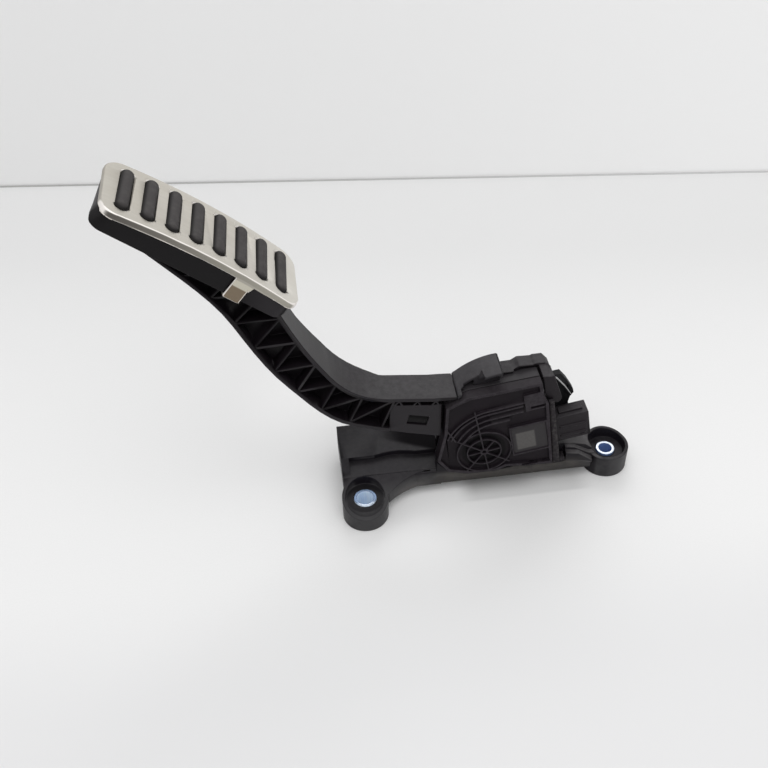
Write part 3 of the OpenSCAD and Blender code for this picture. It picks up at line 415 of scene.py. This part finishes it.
# A gusset ties the deck's back corner to the tray, and the right foot's rim rises towards the back left.
base_skin = softened("base_housing", 0.0005)
gusset_front, gusset_z, gusset_h = 0.0123, 0.021, 0.0050
gusset = [(deck_right, gusset_front), (deck_right, deck_back), (-0.1075, deck_back), (-0.1090, gusset_front)]
add_prism(base_skin, [(x, y, gusset_z) for x, y in gusset], (0, 0, gusset_h))
rim_rise, rim_low, rim_inner, rim_outer = 0.0022, 0.0135, 0.0115, 0.0155
neck_end, neck_fade = -0.0140, 0.003
for v in base_skin.vertices:
    from_bore = math.hypot(v.co.x, v.co.y)
    if v.co.z > rim_low and rim_inner < from_bore < rim_outer:
        back_left = (0.8 * v.co.y - 0.6 * v.co.x) / from_bore
        v.co.z += rim_rise * part_way(v.co.x, neck_end, neck_fade) * part_way(back_left, -0.2, 1.0)
dress(base_skin, "base_housing", "root", "black_plastic", base)
dress(softened("side_cover", 0.0004), "side_cover", "root", "black_plastic",
      moulding("side_plastic", black, 0.38, 0.1))


# Screws of the side cover
# Four pan-head thread-forming screws with a hexagon socket, zinc plated. One is turned and the four are
# placed by nodes on the bosses of the tray.
def tree_of(name, sizes):
    """A geometry node tree with one named input for each size, and the sockets of those inputs."""
    tree = bpy.data.node_groups.new(name, "GeometryNodeTree")
    tree.interface.new_socket("Geometry", in_out="OUTPUT", socket_type="NodeSocketGeometry")
    for label in sizes:
        tree.interface.new_socket(label, in_out="INPUT", socket_type="NodeSocketFloat")
    return tree, tree.nodes.new("NodeGroupInput").outputs


def add(tree, kind, settings=None, inputs=None):
    """Makes one geometry node; inputs that are sockets get a link and others a value."""
    n = tree.nodes.new(kind)
    for key, value in (settings or {}).items():
        setattr(n, key, value)
    for key, value in (inputs or {}).items():
        if isinstance(value, bpy.types.NodeSocket):
            tree.links.new(value, n.inputs[key])
        else:
            n.inputs[key].default_value = value
    return n


def grown(name, tree, sizes, last, finish):
    """Ends a node tree with real geometry and its material, and gives it as a plain mesh."""
    real = add(tree, "GeometryNodeRealizeInstances", {}, {"Geometry": last})
    done = add(tree, "GeometryNodeSetMaterial", {}, {
        "Geometry": real.outputs[0], "Material": finish.material})
    add(tree, "NodeGroupOutput", {}, {0: done.outputs[0]})
    seedling = bpy.data.objects.new(name, bpy.data.meshes.new(name))
    scene.collection.objects.link(seedling)
    grow = seedling.modifiers.new("grow", "NODES")
    grow.node_group = tree
    for item in tree.interface.items_tree:
        if item.in_out == "INPUT":
            grow[item.identifier] = float(sizes[item.name])
    mesh = bpy.data.meshes.new_from_object(seedling.evaluated_get(bpy.context.evaluated_depsgraph_get()))
    mesh.name = name
    bpy.data.objects.remove(seedling)
    return mesh


zinc = Finish("zinc_steel")
zinc.surface(Base_Color=zinc.blend(zinc.noise(300.0), (0.62, 0.66, 0.72), (0.80, 0.83, 0.88)),
             Metallic=1.0, Roughness=0.24)
shank_r, head_r, head_h, socket_r, socket_h = 0.0008, 0.0026, 0.0020, 0.0014, 0.0010
profile = [(0, -0.0010), (shank_r, -0.0009), (shank_r, 0), (head_r - 0.0006, 0), (head_r, 0.0004),
           (head_r, head_h - 0.0004), (head_r - 0.0003, head_h), (socket_r, head_h),
           (socket_r - 0.0002, head_h - socket_h), (0, head_h - socket_h)]
work = bmesh.new()
ring = [work.verts.new((r, 0, h)) for r, h in profile]
lathe = [work.edges.new(pair) for pair in zip(ring, ring[1:])]
bmesh.ops.spin(work, geom=ring + lathe, cent=(0, 0, 0), axis=(0, 0, 1), angle=math.tau, steps=36,
               use_merge=True)
bmesh.ops.remove_doubles(work, verts=work.verts, dist=1e-6)
bmesh.ops.recalc_face_normals(work, faces=work.faces)
screw = bpy.data.meshes.new("screw_form")
work.to_mesh(screw)
work.free()
screw.shade_smooth()
screw.set_sharp_from_angle(angle=math.radians(35))
form = bpy.data.objects.new("screw_form", screw)

bosses = [(-0.1055, 0.022), (-0.0465, 0.022), (-0.0519, 0.0795), (-0.080, 0.0785)]
head_sunk = 0.0014
sizes = {"Seat of the heads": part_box("side_cover")[1][1] - head_sunk}
tree, given = tree_of("side_screws", sizes)
spots = add(tree, "GeometryNodeJoinGeometry")
for x, z in bosses:
    seat = add(tree, "ShaderNodeCombineXYZ", {}, {"X": x, "Y": given["Seat of the heads"], "Z": z})
    spot = add(tree, "GeometryNodePoints", {}, {"Count": 1, "Position": seat.outputs[0]})
    tree.links.new(spot.outputs[0], spots.inputs[0])
model = add(tree, "GeometryNodeObjectInfo", {}, {"Object": form})
set_screws = add(tree, "GeometryNodeInstanceOnPoints", {}, {
    "Points": spots.outputs[0], "Instance": model.outputs["Geometry"], "Rotation": (-math.pi / 2, 0, 0)})
dress(grown("side_screw_set", tree, sizes, set_screws.outputs[0], zinc),
      "side_cover_screws", "root", "zinc_steel", zinc)
bpy.data.objects.remove(form)

# Fixing sleeves
# Turned steel sleeves, zinc plated with a bluish cast, pressed into the feet. Their light and shade are
# painted
# per sleeve: a bright painted reflection makes the left bore the brightest spot of the part, the right bore
# has painted shade under a pale painted ring, and the left ring has a painted highlight on its near rim.
sleeve = Finish("sleeve_zinc")
# Painted light and shade per sleeve: reflection in the left bore, shade in the right one.
on_left = sleeve.x.ramp(-0.10, -0.13)
near_rim_highlight = sleeve.y.ramp(left_foot.y - 0.0027, left_foot.y - 0.0057)
left_ring_light_and_shade = sleeve.blend(near_rim_highlight, (0.16, 0.22, 0.33), (0.55, 0.62, 0.72))
ring_light_and_shade = sleeve.blend(on_left, (0.74, 0.80, 0.88), left_ring_light_and_shade)
streaks = sleeve.noise(500.0, 3.0, 0.6, (1, 1, 0.1)).ramp(0.35, 0.65)
left_bore_reflection = sleeve.blend(streaks, (0.62, 0.76, 0.95), (0.80, 0.90, 1.0))
bore_light_and_shade = sleeve.blend(on_left, (0.16, 0.26, 0.52), left_bore_reflection)
on_top = sleeve.up.ramp(0.35, 0.75)
sleeve.surface(Base_Color=sleeve.blend(on_top, bore_light_and_shade, ring_light_and_shade), Metallic=0.15 + 0.60 * on_top,
               Roughness=0.34)
for node in ("sleeve_near_left", "sleeve_far_left", "sleeve_right"):
    dress(softened(node, 0.0003), node, "root", "zinc_steel", sleeve)

# Arm
# The long nylon moulding between tread and pivot: flanges, web and truss ribs in one piece with the carrier
# under the tread. The sides stay dark but for a painted paler near side, the top of the flange is dusty with
# a painted sheen, and its hollows get painted shade.
pad_mid, pad_slope, bend_r = Vector((-0.2333, 0, 0.2100)), math.radians(39), 0.410
pad_along = Vector((math.cos(pad_slope), 0, -math.sin(pad_slope)))
pad_up = Vector((math.sin(pad_slope), 0, math.cos(pad_slope)))
arm = moulding("arm_plastic", black, 0.34, 0.26, hollow_shade=0.5)
# Painted light: the arm's near side is paler, fading out at both ends.
lit_near_side = (arm.near.ramp(-0.80, -0.95) * arm.y.ramp(-0.0088, -0.0094) * arm.x.ramp(-0.225, -0.205)
         * arm.x.ramp(-0.1126, -0.1148))
arm_tone = arm.blend(lit_near_side, arm.tone, (0.0170, 0.0148, 0.0172))
skirt_left = arm.y.ramp(-0.0122, -0.0132) * arm.x.ramp(-0.205, -0.235)
arm.surface(Base_Color=arm.blend(skirt_left * 0.7, arm_tone, (0.0012, 0.0008, 0.0010)))


def on_tread(point):
    """How far along the tread from its middle a point lies, and how deep under the plate's curved top."""
    s = (point - pad_mid).dot(pad_along)
    return s, -(point - pad_mid).dot(pad_up) - s * s / (2 * bend_r)


# The near corner of the skirt's nose is pushed out along the tread.
nose_push, nose_start, nose_depth = 0.0042, -0.040, 0.022
arm_skin = softened("pedal_arm", 0.00035)
for v in arm_skin.vertices:
    s, depth = on_tread(v.co)
    if s < nose_start and depth < nose_depth:
        push = part_way(depth, 0.003, 0.009) * part_way(-s, 0.042, 0.010) * part_way(-v.co.y, -0.010, 0.024)
        v.co -= pad_along * nose_push * push
dress(arm_skin, "pedal_arm", "pedal", "black_plastic", arm)

# Tread plate
# Deep-drawn stainless sheet with a rolled edge, satin brushed along its length and worn dull by shoes. The
# rolled edge and the rim's hem carry a painted highlight, and the rim carries painted shade towards the left
# end and over its lower part, which is also a little stained.
plate = Finish("tread_steel")
brush = plate.noise(90.0, 5.0, 0.7, (0.12, 6.0, 0.12))
stain = plate.noise(45.0, 4.0, 0.6).ramp(0.45, 0.75)
plate_tone = plate.blend(brush.ramp(0.3, 0.7), (0.50, 0.475, 0.425), (0.56, 0.535, 0.485))
plate_tone = plate.blend(stain * 0.3, plate_tone, (0.42, 0.38, 0.31))
plate_tone = plate.blend(plate.x.ramp(-0.215, -0.285) * 0.45, plate_tone, (0.20, 0.185, 0.155))
plate_tone = plate.blend(plate.x.ramp(-0.225, -0.190) * 0.5, plate_tone, (0.74, 0.72, 0.67))
run = (plate.x - pad_mid.x) * pad_along.x + (plate.z - pad_mid.z) * pad_along.z
depth = (pad_mid.x - plate.x) * pad_up.x + (pad_mid.z - plate.z) * pad_up.z - run * run * (0.5 / bend_r)
# Painted shade on the rim towards the left end and over its lower part, with its stain, and a painted
# highlight at the hem.
rim_light_shade_and_stain = plate.blend(plate.x.ramp(-0.285, -0.195), (0.10, 0.09, 0.08), (0.36, 0.34, 0.29))
rim_light_shade_and_stain = plate.blend(depth.ramp(0.0029, 0.0034) * 0.3, rim_light_shade_and_stain, (0.62, 0.58, 0.52))
rim_light_shade_and_stain = plate.blend(depth.ramp(0.0042, 0.0050), rim_light_shade_and_stain, (0.58, 0.55, 0.46))
rim_light_shade_and_stain = plate.blend(depth.ramp(0.0082, 0.0090), rim_light_shade_and_stain, (0.20, 0.155, 0.105))
# Painted highlight along the rolled edge.
rolled = plate.near.ramp(-0.08, -0.35) * plate.near.ramp(-0.90, -0.72)
plate_tone = plate.blend(rolled, plate_tone, (0.92, 0.88, 0.84))
plate.surface(Base_Color=plate.blend(plate.near.ramp(-0.72, -0.93), plate_tone, rim_light_shade_and_stain), Metallic=0.45,
              Roughness=0.44 + 0.16 * brush, Normal=plate.bump(brush, 0.05, 0.0002))

# The plate's near edge stands out a little, and its rim there hangs a little deeper.
near_edge, near_push, rim_depth, rim_drop, drop_depth = -0.0190, 0.0008, 0.0045, 0.0006, 0.0034
plate_skin = softened("pad_plate", 0.0010, segments=3)
for v in plate_skin.vertices:
    s, depth = on_tread(v.co)
    if v.co.y < near_edge and depth < rim_depth:
        v.co.y -= near_push
        v.co -= pad_up * rim_drop * min(depth / drop_depth, 1)
dress(plate_skin, "pad_plate", "pedal", "plate_steel", plate)

# Rubber bars
# One rubber mat lies under the plate and its eight bars stand through the slots. The bars are worn round at
# their crowns; nodes bend the row of eight along the tread's curve.
bar_count, bar_pitch, bar_l, bar_w, bar_lean = 8, 0.0131, 0.0366, 0.0068, math.radians(3)
rubber = Finish("tread_rubber")
rub = rubber.noise(210.0, 4.0, 0.65)
# Painted light and shade: the crowns facing up from the tread keep the rubber's tone and the sides are
# painted dark as shade.
lit_crown = (rubber.side * pad_up.x + rubber.up * pad_up.z).ramp(0.55, 0.98)
rubber_tone = rubber.blend(rub.ramp(0.35, 0.75), (0.034, 0.030, 0.030), (0.056, 0.051, 0.050))
rubber.surface(
    Base_Color=rubber.blend(lit_crown, (0.007, 0.006, 0.006), rubber_tone),
    Roughness=0.62 + 0.2 * rub, Specular_IOR_Level=0.3,
    Normal=rubber.bump(rubber.noise(1800.0, 2.0), 0.12, 0.0003))

# Each ring of the crown is a height over the plate and how far it is drawn in from the bar's side.
crown = [(-0.0030, 0), (0.0002, 0), (0.0008, 0.00015), (0.0013, 0.0005), (0.0018, 0.0011), (0.0021, 0.0018),
         (0.0023, 0.0026), (0.00235, 0.0031)]
end_steps = 11
work = bmesh.new()
rings = []
for height, inset in crown:
    r = bar_w / 2 - inset
    end_at = bar_l / 2 - bar_w / 2
    arc = [math.pi * k / end_steps for k in range(end_steps + 1)]
    outline = [(r * math.cos(a), end_at + r * math.sin(a)) for a in arc]
    outline += [(-x, -y) for x, y in outline]
    rings.append([work.verts.new((x, y, height)) for x, y in outline])
for low, high in zip(rings, rings[1:]):
    for k in range(len(low)):
        j = (k + 1) % len(low)
        work.faces.new((low[k], low[j], high[j], high[k]))
work.faces.new(rings[-1])
work.faces.new(rings[0][::-1])
bar_mesh = bpy.data.meshes.new("bar_form")
work.to_mesh(bar_mesh)
work.free()
bar_mesh.shade_smooth()
form = bpy.data.objects.new("bar_form", bar_mesh)

sizes = {"Pitch": bar_pitch, "Bend radius": bend_r, "Turn of a bar": -bar_lean, "Slope": pad_slope,
         "Mat length": 0.100, "Mat width": 0.040, "Mat height": -0.0022}
tree, given = tree_of("rubber_bars", sizes)


def maths(kind, *values):
    """One Math node of the rubber mat's tree, and its result."""
    return add(tree, "ShaderNodeMath", {"operation": kind}, dict(enumerate(values))).outputs[0]


def triple(**parts):
    return add(tree, "ShaderNodeCombineXYZ", {}, parts).outputs[0]


row = add(tree, "GeometryNodeMeshLine", {}, {"Count": bar_count, "Offset": (0, 0, 0)})
steps_out = maths("SUBTRACT", add(tree, "GeometryNodeInputIndex").outputs[0], (bar_count - 1) / 2)
swing = maths("DIVIDE", maths("MULTIPLY", steps_out, given["Pitch"]), given["Bend radius"])
bar_x = maths("MULTIPLY", maths("SINE", swing), given["Bend radius"])
bar_z = maths("MULTIPLY", maths("SUBTRACT", maths("COSINE", swing), 1.0), given["Bend radius"])
spread = add(tree, "GeometryNodeSetPosition", {}, {
    "Geometry": row.outputs[0], "Position": triple(X=bar_x, Z=bar_z)})
model = add(tree, "GeometryNodeObjectInfo", {}, {"Object": form})
bars = add(tree, "GeometryNodeInstanceOnPoints", {}, {
    "Points": spread.outputs[0], "Instance": model.outputs["Geometry"],
    "Rotation": triple(Y=swing, Z=given["Turn of a bar"])})
mat = add(tree, "GeometryNodeMeshGrid", {}, {
    "Size X": given["Mat length"], "Size Y": given["Mat width"], "Vertices X": 60, "Vertices Y": 3})
at = add(tree, "ShaderNodeSeparateXYZ", {}, {0: add(tree, "GeometryNodeInputPosition").outputs[0]}).outputs
curve = maths("DIVIDE", maths("MULTIPLY", at[0], at[0]), given["Bend radius"])
mat_z = maths("MULTIPLY_ADD", curve, -0.5, given["Mat height"])
bent = add(tree, "GeometryNodeSetPosition", {}, {
    "Geometry": mat.outputs[0], "Position": triple(X=at[0], Y=at[1], Z=mat_z)})
joined = add(tree, "GeometryNodeJoinGeometry")
tree.links.new(bars.outputs[0], joined.inputs[0])
tree.links.new(bent.outputs[0], joined.inputs[0])
mat_shift = Vector((-0.0002, -0.0002, 0))
placed = add(tree, "GeometryNodeTransform", {}, {
    "Geometry": joined.outputs[0], "Translation": pad_mid + mat_shift, "Rotation": triple(Y=given["Slope"])})
dress(grown("rubber_bar_set", tree, sizes, placed.outputs[0], rubber),
      "rubber_insert", "pedal", "black_rubber", rubber)
bpy.data.objects.remove(form)

# Hoods over arm and springs
# Two thin covers clipped on the tray's roof: a curved one over the arm's entry and a cap over the springs
# with its hanging tongue. The curved one is the palest of the black pieces, rubbed dull by handling.
hood_plastic = moulding("hood_plastic", (0.0235, 0.0217, 0.0245), 0.40, 0.24)
hood_skin = softened("front_hood", 0.0006)
hood_left = min(v.co.x for v in hood_skin.vertices)
edge_band, edge_push, lug_start, lug_share = 0.0015, 0.0005, 0.0962, 0.3
for v in hood_skin.vertices:
    if v.co.x < hood_left + edge_band:
        v.co.x -= edge_push
    if v.co.z > lug_start:
        v.co.z = lug_start + lug_share * (v.co.z - lug_start)
dress(hood_skin, "front_hood", "root", "black_plastic", hood_plastic)

cap_plastic = moulding("cap_plastic", times(1.3, black), 0.40, 0.28)
cap_skin = softened("rear_hood", 0.0006)
cap_edge, cap_push, lip_y, lip_t = -0.0462, 0.0010, 0.003, 0.0012
for v in cap_skin.vertices:
    if v.co.x > cap_edge:
        v.co.x += cap_push
lip = [(-0.0515, 0.089), (-0.0440, 0.089), (-0.0425, 0.076), (-0.0490, 0.076)]
add_prism(cap_skin, [(x, lip_y, z) for x, z in lip], (0, lip_t, 0))
dress(cap_skin, "rear_hood", "root", "black_plastic", cap_plastic)

# Wiring clip
# A dark nylon clip at the far right corner, with the strap that the harness pin snaps into. The strap's upper
# edge carries a painted highlight, a light line.
clip_plastic = moulding("clip_plastic", (0.008, 0.008, 0.009), 0.5, 0.05)
# Painted highlight along the strap's upper edge.
strap_highlight = (clip_plastic.up.ramp(0.25, 0.45) * clip_plastic.y.ramp(0.0036, 0.0039)
              * clip_plastic.y.ramp(0.0053, 0.0049) * clip_plastic.x.ramp(-0.0415, -0.0405))
clip_plastic.surface(Base_Color=clip_plastic.blend(strap_highlight, clip_plastic.tone, grey(0.42)))
dress(softened("harness_clip", 0.0003), "harness_clip", "root", "black_plastic", clip_plastic)

# Sensor cover
# The screwless cover over the magnet and circuit board, one moulding with its spider of thin ribs. Dust lies
# on the ribs' edges, and the pockets between them carry painted shade.
cover = moulding("cover_plastic", times(2.0, black), 0.42, 0.14, hollow_shade=0.6, gloss=0.10)
rib_face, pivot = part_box("sensor_cover")[0][1], middle("magnet")
edge = cover.y.ramp(rib_face + 0.0005, rib_face + 0.0001) * cover.noise(300.0, 4.0, 0.7).ramp(0.2, 0.7)
cover_tone = cover.blend(edge * 0.5, cover.tone, (0.055, 0.050, 0.056))

# A flat leaning field right of the spider is paler than the rest, most of all inside its edges.
field_x, field_z, field_lean = -0.0562, 0.043, math.radians(10)
lean_x, lean_z = math.cos(field_lean), math.sin(field_lean)
from_x, from_z = cover.x - field_x, cover.z - field_z
across, upward = from_x * lean_x + from_z * lean_z, from_z * lean_x - from_x * lean_z
field = across.within(-0.0109, 0.0109, 0.0002) * upward.within(-0.0114, 0.0114, 0.0002)
deep = cover.y.ramp(rib_face + 0.0007, rib_face + 0.0019)
roof_edge = cover.z.ramp(0.064, 0.069) * cover.up.ramp(0.15, 0.5)
wheel = cover.distance(cover.x, pivot.x, cover.z, pivot.z).ramp(0.0150, 0.0135)
# Painted shade in the pockets between the ribs.
cover_pocket_shade = deep * (1 - field) * (1 - roof_edge) * (0.35 + 0.6 * wheel)
cover_tone = cover.blend(cover_pocket_shade, cover_tone, (0.0016, 0.0010, 0.0016))
field_dust = field * (0.45 + 0.4 * cover.noise(500.0, 4.0, 0.7))
cover_tone = cover.blend(field_dust, cover_tone, (0.046, 0.044, 0.045))
pale_patch = (across.ramp(-0.0092, -0.0078) * across.ramp(0.0040, 0.0028) * upward.ramp(-0.0095, -0.0082)
              * upward.ramp(0.0066, 0.0052) * (0.5 + 0.5 * cover.noise(700.0, 4.0, 0.7)))
cover.surface(Base_Color=cover.blend(pale_patch * 0.8, cover_tone, (0.125, 0.120, 0.115)))
dress(softened("sensor_cover", 0.0003), "sensor_cover", "root", "cover_plastic", cover)

# Connector
# Flange and plug shroud in one moulding along the cover's right edge. The flange is dusty and worn pale.
shroud = moulding("shroud_plastic", times(1.4, black), 0.40, 0.20)
worn = (shroud.y.ramp(-0.0118, -0.0123) * shroud.x.ramp(-0.033, -0.036)
        * shroud.noise(420.0, 4.0, 0.7).ramp(0.42, 0.62)).clamped()
shroud.surface(Base_Color=shroud.blend(worn * 0.32, shroud.tone, (0.10, 0.095, 0.09)))
dress(softened("connector_shroud", 0.0004), "connector_shroud", "root", "cover_plastic", shroud)

# Inner pieces
# Hidden inside the housing: they keep their CAD shape and get one plain finish each. A row gives the colour,
# whether it is metal, and the roughness.
bright, bronze, spring = (0.62, 0.63, 0.65), (0.45, 0.30, 0.14), (0.45, 0.46, 0.48)
inner_looks = {
    "cover_seal": ((0.16, 0.05, 0.03), 0, 0.6), "connector_pins": ((0.72, 0.66, 0.50), 1, 0.3),
    "sensor_board": ((0.02, 0.12, 0.05), 0, 0.4), "hall_chips": (grey(0.01), 0, 0.4),
    "magnet_carrier": ((0.05, 0.05, 0.055), 0, 0.5), "magnet": ((0.20, 0.20, 0.21), 1, 0.45),
    "pivot_shaft": (bright, 1, 0.22), "near_bush": (bronze, 1, 0.4), "far_bush": (bronze, 1, 0.4),
    "shaft_ring": ((0.40, 0.41, 0.43), 1, 0.35), "outer_spring": (spring, 1, 0.3),
    "inner_spring": (spring, 1, 0.3), "spring_seat": ((0.30, 0.30, 0.28), 0, 0.5),
    "friction_shoe": ((0.50, 0.46, 0.36), 0, 0.6), "bump_stop": (grey(0.012), 0, 0.8),
}
for node, (tone, metal, rough) in inner_looks.items():
    look = Finish(node + "_look")
    look.surface(Base_Color=look.blend(look.noise(260.0, 3.0), times(0.88, tone), tone),
                 Metallic=float(metal), Roughness=rough)
    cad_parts[node].data.materials.clear()
    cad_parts[node].data.materials.append(look.material)
